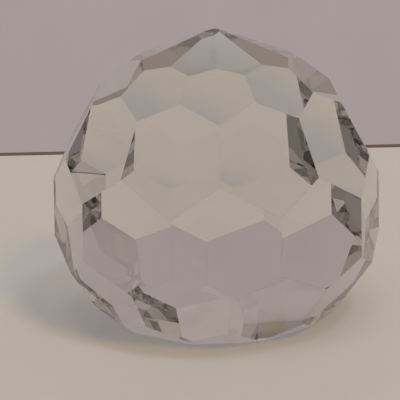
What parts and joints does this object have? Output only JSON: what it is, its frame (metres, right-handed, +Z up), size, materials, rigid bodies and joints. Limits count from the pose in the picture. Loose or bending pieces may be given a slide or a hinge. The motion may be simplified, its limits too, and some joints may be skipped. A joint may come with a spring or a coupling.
{
  "type": "crystal ball paperweight",
  "caption": "Solid clear cut-glass ball with rows of flat facets, a pointed top and a flat base to stand on.",
  "frame": {"origin": "centre of the flat base, on the surface that the paperweight stands on", "axes": "+Z up along the axis of the ball, through the pointed top; the middle of one equator facet faces -Y"},
  "size_m": [0.0628, 0.06, 0.0554],
  "materials": {
    "crystal": "clear cut glass, polished facets with crisp edges"
  },
  "bodies": {
    "root": {"crystal_body": "crystal"}
  },
  "joints": []
}
